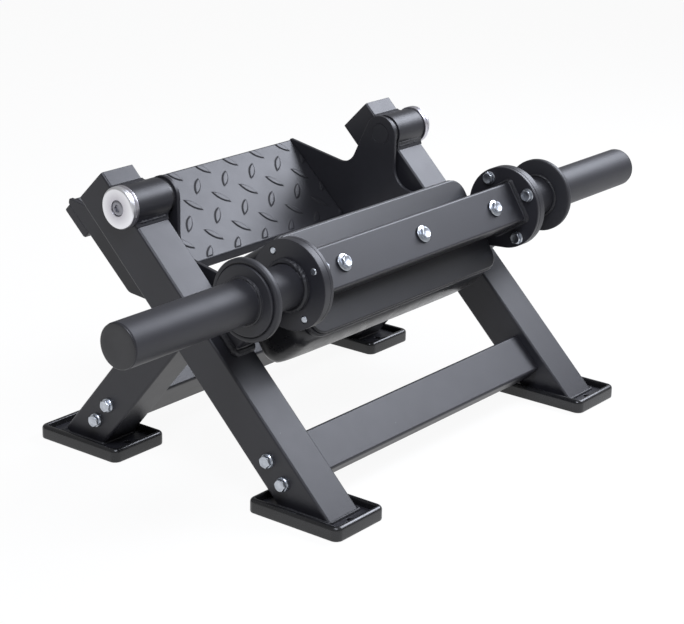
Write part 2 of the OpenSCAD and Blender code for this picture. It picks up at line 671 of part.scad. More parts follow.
left() main_tube();  // left_main_tube
main_tube();  // right_main_tube
left() rear_leg();  // left_rear_leg
rear_leg();  // right_rear_leg
front_crossbar();
rear_crossbar();
left() pivot_hub();  // left_pivot_hub
pivot_hub();  // right_pivot_hub
left() bush();  // left_bush
bush();  // right_bush
left() stop_post();  // left_stop_post
stop_post();  // right_stop_post
left() rest_pad();  // left_rest_pad
rest_pad();  // right_rest_pad
left() foot_plate(main_foot_y, main_toe);  // front_left_foot_plate
foot_plate(main_foot_y, main_toe);  // front_right_foot_plate
left() foot_plate(leg_foot_y, leg_toe);  // rear_left_foot_plate
foot_plate(leg_foot_y, leg_toe);  // rear_right_foot_plate
left() foot(main_foot_y, main_toe);  // front_left_foot
foot(main_foot_y, main_toe);  // front_right_foot
left() foot(leg_foot_y, leg_toe);  // rear_left_foot
foot(leg_foot_y, leg_toe);  // rear_right_foot
front_frame_bolts();
rear_frame_bolts();
frame_washers();
left() side_plate();  // left_side_plate
side_plate();  // right_side_plate
tread_plate();
rear_tie_bar();
bar_tube();
left() horn_disc();  // left_horn_disc
horn_disc();  // right_horn_disc
left() weight_horn();  // left_weight_horn
weight_horn();  // right_weight_horn
left() collar();  // left_collar
collar();  // right_collar
left() end_plug();  // left_end_plug
end_plug();  // right_end_plug
disc_bolts();
pad_plate();
pad_board();
toe_pad();
pad_bolts();
pad_washers();
pad_tee_nuts();
left() stub_axle();  // left_stub_axle
stub_axle();  // right_stub_axle
thrust_washers();
left() axle_cap();  // left_axle_cap
axle_cap();  // right_axle_cap
cap_screws();
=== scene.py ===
import json
import math

import bmesh
import bpy
import numpy as np
from mathutils import Matrix, Vector


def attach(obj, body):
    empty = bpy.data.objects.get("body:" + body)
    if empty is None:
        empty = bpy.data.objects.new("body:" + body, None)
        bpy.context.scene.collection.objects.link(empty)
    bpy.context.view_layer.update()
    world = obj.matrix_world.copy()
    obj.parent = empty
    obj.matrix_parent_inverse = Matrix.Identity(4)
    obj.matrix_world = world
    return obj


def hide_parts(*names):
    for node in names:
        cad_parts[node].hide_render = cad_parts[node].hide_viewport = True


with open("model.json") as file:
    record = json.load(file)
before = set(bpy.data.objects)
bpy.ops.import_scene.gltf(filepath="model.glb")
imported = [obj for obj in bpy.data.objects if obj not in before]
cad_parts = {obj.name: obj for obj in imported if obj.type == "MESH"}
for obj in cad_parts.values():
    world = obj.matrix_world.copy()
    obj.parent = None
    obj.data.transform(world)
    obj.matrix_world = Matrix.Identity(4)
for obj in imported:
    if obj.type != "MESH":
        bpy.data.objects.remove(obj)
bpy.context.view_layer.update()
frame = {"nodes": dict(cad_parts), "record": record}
nodes = frame["nodes"]

# Camera: where the photograph was taken from, fitted to the stand's corners and the weight horns
PHOTO_WIDTH = 684
FOCAL_PIXELS = 1921.6
CAMERA_AZIMUTH = math.radians(-52.25)
CAMERA_ELEVATION = math.radians(18.67)
CAMERA_ROLL = math.radians(1.17)
CAMERA_AT = Vector((-1.69964, -1.33440, 0.85956))
SENSOR = 36.0
FAR_CLIP = 50.0


def camera():
    """Looks back along the azimuth and elevation, then rolls about its own view."""
    side = Vector((math.cos(CAMERA_AZIMUTH), math.sin(CAMERA_AZIMUTH), 0))
    back = Vector((math.sin(CAMERA_AZIMUTH) * math.cos(CAMERA_ELEVATION),
                   -math.cos(CAMERA_AZIMUTH) * math.cos(CAMERA_ELEVATION), math.sin(CAMERA_ELEVATION)))
    up = back.cross(side)
    right = math.cos(CAMERA_ROLL) * side + math.sin(CAMERA_ROLL) * up
    top = back.cross(right)
    data = bpy.data.cameras.new("camera")
    data.sensor_width = SENSOR
    data.sensor_fit = "HORIZONTAL"
    data.lens = SENSOR * FOCAL_PIXELS / PHOTO_WIDTH
    data.clip_end = FAR_CLIP
    eye = bpy.data.objects.new("camera", data)
    eye.matrix_world = Matrix((right, top, back)).transposed().to_4x4()
    eye.location = CAMERA_AT
    bpy.context.scene.collection.objects.link(eye)
    bpy.context.scene.camera = eye


camera()

# Sizes in millimetres, the same as in the part's source
TUBE = 50.0
MAIN_ANGLE = math.radians(44.7)
LEG_ANGLE = math.radians(50.3)
BASE_LEN = 379.7
MAIN_Y = -219.6586
LEG_Y = MAIN_Y + BASE_LEN
PIVOT = np.array([0.0, 79.246, 298.323])
PIVOT_UP = 422.3
BAR = np.array([0.0, -109.836, 237.251])
BAR_TILT = math.radians(32.8)
TREAD_TOP = PIVOT + np.array([0.0, 146.3, -30.7])
TREAD_ANGLE = math.radians(43)
SIDE_IN = 197.0
TUBE_IN, TUBE_OUT = 211.5, 261.5
FOOT_X, FOOT_W, FOOT_L, FOOT_H, FOOT_ROUND = 237.5, 82.0, 123.5, 16.0, 9.0
FRONT_FOOT_Y, REAR_FOOT_Y = -234.264, 83.577
FRONT_HOLE_Y, REAR_HOLE_Y = -218.914, 105.327
PLATE_TOP = 9.0
HUB_R = 21.75
HORN_R, HORN_OUT, FLANGE_OUT = 24.0, 465.3, 211.5
COLLAR_R, COLLAR_X, COLLAR_FACE = 45.0, 274.0, 284.0


def turned_about_x(points, angle, origin):
    """Points in millimetres turned about the x axis by the angle, then moved to the origin, in metres."""
    p = np.asarray(points, float)
    c, s = math.cos(angle), math.sin(angle)
    y = p[..., 1] * c - p[..., 2] * s
    z = p[..., 1] * s + p[..., 2] * c
    return (np.stack([p[..., 0], y, z], -1) + origin) / 1000


def along_main(points):
    """From the main tube's own frame: y is depth behind its front face, z runs up its slope."""
    return turned_about_x(points, MAIN_ANGLE - math.pi / 2, np.array([0, MAIN_Y, 0]))


def along_leg(points):
    """From the rear leg's own frame: y is rearward from its middle, z runs up its slope."""
    return turned_about_x(points, math.pi / 2 - LEG_ANGLE, np.array([0, LEG_Y, 0]))


def at_bar(points):
    """From the bar's own frame: y is depth behind its middle, z lies up the pad plate."""
    return turned_about_x(points, -BAR_TILT, BAR)


def at_disc(points):
    """From the horn discs' frame, on the bar's axis but level."""
    return turned_about_x(points, 0.0, BAR)


def at_pivot(points):
    """From the pivot's frame, level."""
    return turned_about_x(points, 0.0, PIVOT)


def at_tread(points):
    """From the tread's own frame: y is depth behind its face, z is 0 at its top edge and falls down it."""
    return turned_about_x(points, TREAD_ANGLE - math.pi / 2, TREAD_TOP)


def on_floor(points):
    """From the part's own frame, so only millimetres to metres."""
    return np.asarray(points) / 1000


# Meshes
def make_piece(name, points, faces, look, body, replaces=(), smooth=40):
    """A mesh object from metres and faces, on a body, in a material, smooth up to an angle in degrees."""
    mesh = bpy.data.meshes.new(name)
    corners = np.asarray(points, float).reshape(-1, 3).tolist()
    mesh.from_pydata(corners, [], [list(map(int, face)) for face in faces])
    mesh.validate()
    piece = bpy.data.objects.new(name, mesh)
    bpy.context.scene.collection.objects.link(piece)
    mesh.materials.append(look)
    mesh.shade_smooth()
    mesh.set_sharp_from_angle(angle=math.radians(smooth))
    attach(piece, body)
    if replaces:
        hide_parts(*replaces)
    return piece


def point_marks(piece, name, values):
    """A number for each point of a piece, which its material reads by name."""
    layer = piece.data.attributes.new(name, "FLOAT", "POINT")
    layer.data.foreach_set("value", values)


def grid_faces(rows, columns, around=True):
    """Quads between neighbouring rows of a grid, whose rows may close on themselves."""
    j, i = np.meshgrid(np.arange(rows - 1), np.arange(columns if around else columns - 1), indexing="ij")
    k = (i + 1) % columns
    a, b = j * columns + i, j * columns + k
    return np.stack([a, b, b + columns, a + columns], -1).reshape(-1, 4).tolist()


def merged(parts):
    """Several (points, faces) pairs as one pair."""
    points, faces, start = [], [], 0
    for p, f in parts:
        p = np.asarray(p).reshape(-1, 3)
        points.append(p)
        faces += [[v + start for v in face] for face in f]
        start += len(p)
    return np.concatenate(points), faces


def lofted(rings, closed=False):
    """Rings of equal count joined in order; the ends are capped, or joined to each other when closed."""
    rings = np.asarray(rings, float)
    n, m = rings.shape[:2]
    faces = grid_faces(n, m)
    if closed:
        i = np.arange(m)
        k = (i + 1) % m
        last = (n - 1) * m
        faces += np.stack([last + i, last + k, k, i], -1).tolist()
    else:
        faces.append(list(range(m))[::-1])
        faces.append(list(range((n - 1) * m, n * m)))
    return rings.reshape(-1, 3), faces


def flat_faces_shaded_flat(piece):
    """Weights the shading normals by face area, so that rounded edges don't bend the look of flat faces."""
    bpy.context.view_layer.objects.active = piece
    weighted = piece.modifiers.new("weighted_normals", "WEIGHTED_NORMAL")
    weighted.weight = 100
    weighted.keep_sharp = True
    bpy.ops.object.modifier_apply(modifier=weighted.name)


def faced_outward(piece):
    """Turns all faces of a closed piece to point outward."""
    shape = bmesh.new()
    shape.from_mesh(piece.data)
    bmesh.ops.recalc_face_normals(shape, faces=shape.faces)
    shape.to_mesh(piece.data)
    shape.free()


SAME_POINT = 0.00001
FLAT_WITHIN, EDGE_FROM, SMOOTH_UP_TO = math.radians(1.5), math.radians(32), math.radians(38)


def eased(name, body, width):
    """The node's solid again with its sharp edges rounded: a copy whose flat faces are joined, then whose
    sharp edges are cut back by the width in millimetres and rounded."""
    shape = bmesh.new()
    shape.from_mesh(nodes[name].data)
    bmesh.ops.remove_doubles(shape, verts=shape.verts, dist=SAME_POINT)
    bmesh.ops.dissolve_limit(shape, angle_limit=FLAT_WITHIN, verts=shape.verts, edges=shape.edges)
    sharp = [e for e in shape.edges if len(e.link_faces) == 2 and e.calc_face_angle(0) > EDGE_FROM]
    bmesh.ops.bevel(shape, geom=sharp, offset=width / 1000, offset_type="OFFSET",
                    segments=2, profile=0.5, affect="EDGES", clamp_overlap=True)
    bmesh.ops.recalc_face_normals(shape, faces=shape.faces)
    mesh = bpy.data.meshes.new("eased_" + name)
    shape.to_mesh(mesh)
    shape.free()
    piece = bpy.data.objects.new("eased_" + name, mesh)
    bpy.context.scene.collection.objects.link(piece)
    mesh.materials.append(nodes[name].data.materials[0])
    mesh.shade_smooth()
    mesh.set_sharp_from_angle(angle=SMOOTH_UP_TO)
    flat_faces_shaded_flat(piece)
    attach(piece, body)
    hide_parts(name)


def outward(points, faces):
    """Flips all faces together if the closed shape they bound has a negative volume."""
    p = np.asarray(points, float)
    volume = 0.0
    for face in faces:
        a = p[face[0]]
        q = p[face[1:]]
        volume += float(np.einsum("ij,ij->", np.cross(q[:-1], q[1:]), np.broadcast_to(a, q[:-1].shape)))
    return (points, faces) if volume > 0 else (points, [list(face)[::-1] for face in faces])


def mirrored(points, faces):
    """The mirror image in x, with its faces turned to stay outward."""
    p = np.asarray(points, float).copy()
    p[:, 0] *= -1
    return p, [list(face)[::-1] for face in faces]


def both_sides(parts):
    """The parts and their mirror images in x."""
    return parts + [mirrored(p, f) for p, f in parts]


def right_and_left(shape):
    """A closed shape for the right side, then its mirror image for the left, each with its side's name."""
    right = outward(*shape)
    return ("right", *right), ("left", *mirrored(*right))


def rounded_outline(w, h, r, n=10):
    """Points round a rectangle with round corners, centred on 0, the same count for any size."""
    r = min(r, w / 2 - 0.01, h / 2 - 0.01)
    a = np.radians(np.concatenate([np.linspace(q, q + 90, n) for q in (0, 90, 180, 270)]))
    sx = np.repeat([1, -1, -1, 1], n)
    sy = np.repeat([1, 1, -1, -1], n)
    return np.stack([sx * (w / 2 - r) + r * np.cos(a), sy * (h / 2 - r) + r * np.sin(a)], -1)


AROUND, FINE_AROUND, BOLT_AROUND = 72, 96, 48


def turned(profile, x0, around=AROUND, closed=False):
    """A lathe shape about the x axis: the radius times the cosine and sine of even steps of angle. A row of
    the profile is (x from x0, radius), or (x, radius, share) to draw the circle in to its inner hexagon."""
    a = np.linspace(0, 2 * math.pi, around, endpoint=False)
    sector = math.pi / 3
    hexagon = np.cos(sector / 2) / np.cos((a % sector) - sector / 2)
    rings = []
    for x, r, *share in profile:
        reach = r * (1 + sum(share) * (hexagon - 1))
        rings.append(np.stack([np.full(around, x0 + x), reach * np.cos(a), reach * np.sin(a)], -1))
    return lofted(rings, closed)


BEAD_SIDES, BEAD_STEPS, BEAD_LEAST = 8, 4, 12
BEAD_GUIDE = np.array([0.13, 0.71, 0.69])
BEAD_END = 0.35


def bead(path, radius, closed=False, ripple=0.16, pitch=3.2, seed=0):
    """A weld bead in millimetres: a round section swept along a path. Its radius is one arch of a sine for
    each pass of the torch, plus two slow waves that the seed shifts, and it tapers at open ends."""
    path = np.asarray(path, float)
    if closed:
        path = np.concatenate([path, path[:1]])
    step = np.linalg.norm(np.diff(path, axis=0), axis=1)
    s = np.concatenate([[0], np.cumsum(step)])
    n = max(int(s[-1] / (pitch / BEAD_STEPS)), BEAD_LEAST)
    t = np.linspace(0, s[-1], n, endpoint=not closed)
    p = np.stack([np.interp(t, s, path[:, k]) for k in range(3)], -1)
    along = np.roll(p, -1, 0) - np.roll(p, 1, 0) if closed else np.gradient(p, axis=0)
    along /= np.linalg.norm(along, axis=1)[:, None] + 1e-9
    u = np.cross(along, BEAD_GUIDE)
    u /= np.linalg.norm(u, axis=1)[:, None]
    v = np.cross(along, u)
    wave = (1 + ripple * np.abs(np.sin(math.pi * t / pitch)) - ripple / 2
            + 0.07 * np.sin(t * 0.37 + seed) + 0.05 * np.sin(t * 1.13 + 2 * seed))
    if not closed:
        wave = wave * np.clip(np.minimum(t, s[-1] - t) / (radius * 1.2) + BEAD_END, BEAD_END, 1)
    a = np.linspace(0, 2 * math.pi, BEAD_SIDES, endpoint=False)
    section = np.cos(a)[None, :, None] * u[:, None, :] + np.sin(a)[None, :, None] * v[:, None, :]
    return lofted(p[:, None, :] + radius * wave[:, None, None] * section, closed)


# Materials
def material(name):
    """A new node material, its tree and its principled shader."""
    made = bpy.data.materials.new(name)
    made.use_nodes = True
    return made, made.node_tree, made.node_tree.nodes["Principled BSDF"]


def node(tree, kind, **inputs):
    """A shader node with its inputs set by name."""
    made = tree.nodes.new(kind)
    for key, value in inputs.items():
        made.inputs[key].default_value = value
    return made


def set_or_link(tree, socket, value):
    """Links an output to a socket, or sets the socket to a plain value."""
    if isinstance(value, bpy.types.NodeSocket):
        tree.links.new(value, socket)
    else:
        socket.default_value = value


def noise(tree, place, scale, detail):
    """Fractal noise on object coordinates, at a scale in waves per metre."""
    made = node(tree, "ShaderNodeTexNoise", Scale=scale, Detail=detail, Roughness=0.55)
    tree.links.new(place, made.inputs["Vector"])
    return made.outputs["Fac"]


def cells(tree, place, scale):
    """The distance to the nearest of many scattered points, at a scale in cells per metre."""
    made = node(tree, "ShaderNodeTexVoronoi", Scale=scale, Randomness=1.0)
    tree.links.new(place, made.inputs["Vector"])
    return made.outputs["Distance"]


def marks(tree, name):
    """The numbers that a piece carries on its points under a name."""
    made = tree.nodes.new("ShaderNodeAttribute")
    made.attribute_name = name
    return made.outputs["Fac"]


def ramp(tree, value, stops):
    """A colour ramp through (position, grey or colour) stops."""
    made = tree.nodes.new("ShaderNodeValToRGB")
    element = made.color_ramp.elements
    while len(element) < len(stops):
        element.new(0.5)
    for e, (at, c) in zip(element, stops):
        e.position = at
        e.color = (c, c, c, 1) if isinstance(c, (int, float)) else (*c, 1)
    tree.links.new(value, made.inputs["Fac"])
    return made.outputs["Color"]


def mixed(tree, share, colour, plain):
    """A colour output mixed with a plain colour by a share."""
    made = tree.nodes.new("ShaderNodeMix")
    made.data_type = "RGBA"
    made.blend_type = "MIX"
    for key, value in ((0, share), (6, colour), (7, (*plain, 1))):
        set_or_link(tree, made.inputs[key], value)
    return made.outputs[2]


def math_node(tree, kind, a, b=None):
    """One step of arithmetic on outputs or numbers."""
    made = tree.nodes.new("ShaderNodeMath")
    made.operation = kind
    set_or_link(tree, made.inputs[0], a)
    if b is not None:
        set_or_link(tree, made.inputs[1], b)
    return made.outputs[0]


def bump(tree, shader, layers, edge=0.0):
    """Rows of (height, distance in metres, strength) added as bumps over an optional rounded edge normal."""
    last = None
    if edge:
        rounded = tree.nodes.new("ShaderNodeBevel")
        rounded.samples = 6
        rounded.inputs["Radius"].default_value = edge
        last = rounded.outputs["Normal"]
    for height, distance, strength in layers:
        made = node(tree, "ShaderNodeBump", Strength=strength, Distance=distance)
        tree.links.new(height, made.inputs["Height"])
        if last:
            tree.links.new(last, made.inputs["Normal"])
        last = made.outputs["Normal"]
    tree.links.new(last, shader.inputs["Normal"])


def object_place(tree):
    """Object coordinates, in metres in the part's own frame."""
    return tree.nodes.new("ShaderNodeTexCoord").outputs["Object"]


def times(base, share):
    """A colour made darker or lighter by a share."""
    return tuple(share * v for v in base)


EASED_LOOK = 0.0007
SPECK_CELLS, SPECK_SIZE, SPECK_COLOUR = 62.0, 0.022, (0.16, 0.16, 0.17)


def powder_coat(name, base, rough, edge=0.0, specks=False, painted_flank_shade=None):
    """Satin black powder coat: fine orange peel, uneven gloss, and where asked for, edges that look rounded,
    faint dust specks, and painted shade that darkens and dulls the tread bars' flanks."""
    made, tree, shader = material(name)
    at = object_place(tree)
    colour = ramp(tree, noise(tree, at, 9, 3), [(0.3, times(base, 0.86)), (0.7, times(base, 1.16))])
    gloss = ramp(tree, noise(tree, at, 55, 5), [(0.25, rough - 0.015), (0.75, rough + 0.02)])
    if specks:
        dot = math_node(tree, "LESS_THAN", cells(tree, at, SPECK_CELLS), SPECK_SIZE)
        few = math_node(tree, "GREATER_THAN", noise(tree, at, 31, 1), 0.6)
        colour = mixed(tree, math_node(tree, "MULTIPLY", dot, few), colour, SPECK_COLOUR)
    # Painted shade on the tread bars' flanks: a darker colour and a duller gloss where the marks say
    if painted_flank_shade:
        flank_shade_marks = marks(tree, painted_flank_shade)
        colour = mixed(tree, flank_shade_marks, colour, times(base, 0.25))
        gloss = mixed(tree, flank_shade_marks, gloss, (0.95, 0.95, 0.95))
    tree.links.new(colour, shader.inputs["Base Color"])
    tree.links.new(gloss, shader.inputs["Roughness"])
    shader.inputs["Specular IOR Level"].default_value = 0.45
    peel = noise(tree, at, 950, 2)
    grain = noise(tree, at, 2600, 1)
    bump(tree, shader, [(peel, 0.0003, 0.10), (grain, 0.0001, 0.12)], edge)
    return made


def zinc_plate():
    """Bright zinc plate: streaked blue-white metal with dull patches."""
    made, tree, shader = material("bright_zinc")
    at = object_place(tree)
    colour = ramp(tree, noise(tree, at, 160, 5),
                  [(0.3, (0.43, 0.46, 0.50)), (0.55, (0.52, 0.55, 0.60)), (0.8, (0.63, 0.66, 0.69))])
    gloss = ramp(tree, noise(tree, at, 420, 4), [(0.3, 0.27), (0.7, 0.40)])
    tree.links.new(colour, shader.inputs["Base Color"])
    shader.inputs["Metallic"].default_value = 1.0
    tree.links.new(gloss, shader.inputs["Roughness"])
    bump(tree, shader, [(noise(tree, at, 800, 4), 0.0003, 0.10)])
    return made


# The polished shoulder's lighter colour is a painted highlight; its roughness is real
POLISHED_HIGHLIGHT_COLOUR, POLISHED_ROUGH = (0.86, 0.86, 0.89), (0.34, 0.34, 0.34)


def turned_metal(name, base, rough, pitch, depth, polish_and_highlight=None):
    """Metal faced on a lathe: the height is the sine of the distance from the pivot's axis over the pitch, in
    a soft satin gloss. Polish marks take its rings away, as polish does, and lighten its colour as a painted
    highlight."""
    made, tree, shader = material(name)
    at = object_place(tree)
    place = tree.nodes.new("ShaderNodeMapping")
    place.inputs["Location"].default_value = (0, -PIVOT[1] / 1000, -PIVOT[2] / 1000)
    tree.links.new(at, place.inputs["Vector"])
    parts = tree.nodes.new("ShaderNodeSeparateXYZ")
    tree.links.new(place.outputs["Vector"], parts.inputs[0])
    y2 = math_node(tree, "MULTIPLY", parts.outputs[1], parts.outputs[1])
    z2 = math_node(tree, "MULTIPLY", parts.outputs[2], parts.outputs[2])
    radius = math_node(tree, "SQRT", math_node(tree, "ADD", y2, z2))
    rings = math_node(tree, "SINE", math_node(tree, "MULTIPLY", radius, 2 * math.pi / pitch))
    colour = ramp(tree, noise(tree, at, 120, 4), [(0.3, times(base, 0.94)), (0.7, base)])
    gloss = ramp(tree, noise(tree, at, 300, 4), [(0.3, rough - 0.05), (0.7, rough + 0.06)])
    if polish_and_highlight:
        # Polished shoulder: no turning rings, and a lighter colour that is a painted highlight
        bright = marks(tree, polish_and_highlight)
        colour = mixed(tree, bright, colour, POLISHED_HIGHLIGHT_COLOUR)
        gloss = mixed(tree, bright, gloss, POLISHED_ROUGH)
        rings = math_node(tree, "MULTIPLY", rings, math_node(tree, "SUBTRACT", 1.0, bright))
    tree.links.new(colour, shader.inputs["Base Color"])
    shader.inputs["Metallic"].default_value = 1.0
    tree.links.new(gloss, shader.inputs["Roughness"])
    bump(tree, shader, [(rings, depth, 0.25), (noise(tree, at, 1500, 3), 0.0001, 0.1)])
    return made


def rubber(name, base, rough):
    """Moulded black rubber: even dark colour, uneven gloss, very fine mould texture."""
    made, tree, shader = material(name)
    at = object_place(tree)
    colour = ramp(tree, noise(tree, at, 40, 4), [(0.3, times(base, 0.8)), (0.75, times(base, 1.25))])
    gloss = ramp(tree, noise(tree, at, 90, 4), [(0.3, rough - 0.06), (0.7, rough + 0.08)])
    tree.links.new(colour, shader.inputs["Base Color"])
    tree.links.new(gloss, shader.inputs["Roughness"])
    bump(tree, shader, [(noise(tree, at, 1400, 3), 0.0002, 0.14), (noise(tree, at, 120, 2), 0.0006, 0.08)])
    return made


def vinyl(name, base, rough, grain):
    """Upholstery vinyl: pressed leather grain of small rounded cells, with soft creases and a faint sheen."""
    made, tree, shader = material(name)
    at = object_place(tree)
    colour = ramp(tree, noise(tree, at, 14, 4), [(0.3, times(base, 0.85)), (0.7, times(base, 1.2))])
    gloss = ramp(tree, noise(tree, at, 70, 4), [(0.3, rough - 0.05), (0.7, rough + 0.06)])
    tree.links.new(colour, shader.inputs["Base Color"])
    tree.links.new(gloss, shader.inputs["Roughness"])
    shader.inputs["Specular IOR Level"].default_value = 0.4
    shader.inputs["Sheen Weight"].default_value = 0.03
    shader.inputs["Sheen Roughness"].default_value = 0.4
    bump(tree, shader, [(cells(tree, at, grain), 0.0006, 0.13), (noise(tree, at, 45, 3), 0.002, 0.05)])
    return made


COAT = powder_coat("satin_black_powder_coat", (0.016, 0.016, 0.020), 0.42, EASED_LOOK, specks=True)
# The tread's coat carries painted shade on the bars' flanks
COAT_TREAD = powder_coat("powder_coat_on_tread", (0.018, 0.018, 0.022), 0.42, painted_flank_shade="painted_flank_shade")
COAT_HORN = powder_coat("matt_powder_coat_on_horns", (0.018, 0.018, 0.022), 0.50)
COAT_PLATE = powder_coat("glossier_powder_coat_on_pad_plate", (0.014, 0.014, 0.017), 0.30, specks=True)
COAT_WELD = powder_coat("powder_coat_on_welds", (0.014, 0.014, 0.017), 0.50)
ZINC = zinc_plate()
ALUMINIUM = turned_metal("turned_aluminium", (0.60, 0.585, 0.63), 0.32, 0.0006, 0.00004, "polish_and_highlight")
DULL_ZINC = turned_metal("dull_zinc_screw", (0.30, 0.30, 0.33), 0.36, 0.0009, 0.00003)
RUBBER = rubber("glossy_black_rubber", (0.010, 0.010, 0.011), 0.24)
REST_RUBBER = rubber("rest_pad_rubber", (0.014, 0.014, 0.015), 0.5)
NYLON = rubber("black_nylon", (0.016, 0.016, 0.018), 0.32)
VINYL = vinyl("black_vinyl", (0.011, 0.011, 0.013), 0.30, 620.0)
BOARD = vinyl("vinyl_over_board", (0.016, 0.016, 0.019), 0.40, 700.0)

# The axles' visible ends are coated like the horns
BY_SLOT = {"powder_coat": COAT, "foot_rubber": REST_RUBBER, "zinc_plate": ZINC, "axle_steel": COAT_HORN,
           "turned_aluminium": ALUMINIUM, "black_nylon": NYLON, "pad_board": BOARD, "pad_vinyl": VINYL}
for part in frame["record"]["subparts"]:
    horn = part["node"].endswith("weight_horn")
    mesh = nodes[part["node"]].data
    mesh.materials.clear()
    mesh.materials.append(COAT_HORN if horn else BY_SLOT[part["material_slot"]])


# Steel parts with their cut edges eased, as a powder-coated edge is
EASED_SIDES = (("side_plate", "cradle", 0.9), ("horn_disc", "cradle", 1.1), ("main_tube", "stand", 0.5),
               ("rear_leg", "stand", 0.5), ("stop_post", "stand", 0.7), ("pivot_hub", "stand", 0.6))
EASED_MIDDLE = (("front_crossbar", "stand"), ("rear_crossbar", "stand"), ("bar_tube", "cradle"),
                ("rear_tie_bar", "cradle"))
for side in ("left", "right"):
    for name, body, width in EASED_SIDES:
        eased(side + "_" + name, body, width)
    for end in ("front", "rear"):
        eased(end + "_" + side + "_foot_plate", "stand", 0.8)
for name, body in EASED_MIDDLE:
    eased(name, body, 0.6)


# Tread: a plate whose raised bars are rounded lenses set at right angles in a checker
LOZENGE_L, LOZENGE_W, LOZENGE_H = 28.5, 8.6, 1.1
PITCH_X, PITCH_S, LOZENGE_X, LOZENGE_DOWN = 51.0, 45.0, -7.0, 29.0
# FLANK_ values set the band, reach and darkness of the painted shade on the bars' flanks
LOZENGE_RUN, FLANK_IN, FLANK_WIDE, FLANK_PAST, FLANK_SHADE_DARKEST = 1.1, 0.35, 0.75, 0.8, 0.85
TREAD_W, TREAD_LEN, TREAD_EDGE, TREAD_T, TREAD_LIP, FOLD_R = 394.0, 124.0, 1.0, 4.0, 10.0, 4.0
TREAD_ROWS, TREAD_COLUMNS, TREAD_GAP = 165, 520, 0.05
BORDER, EDGE_ROLL = 1.2, 0.9


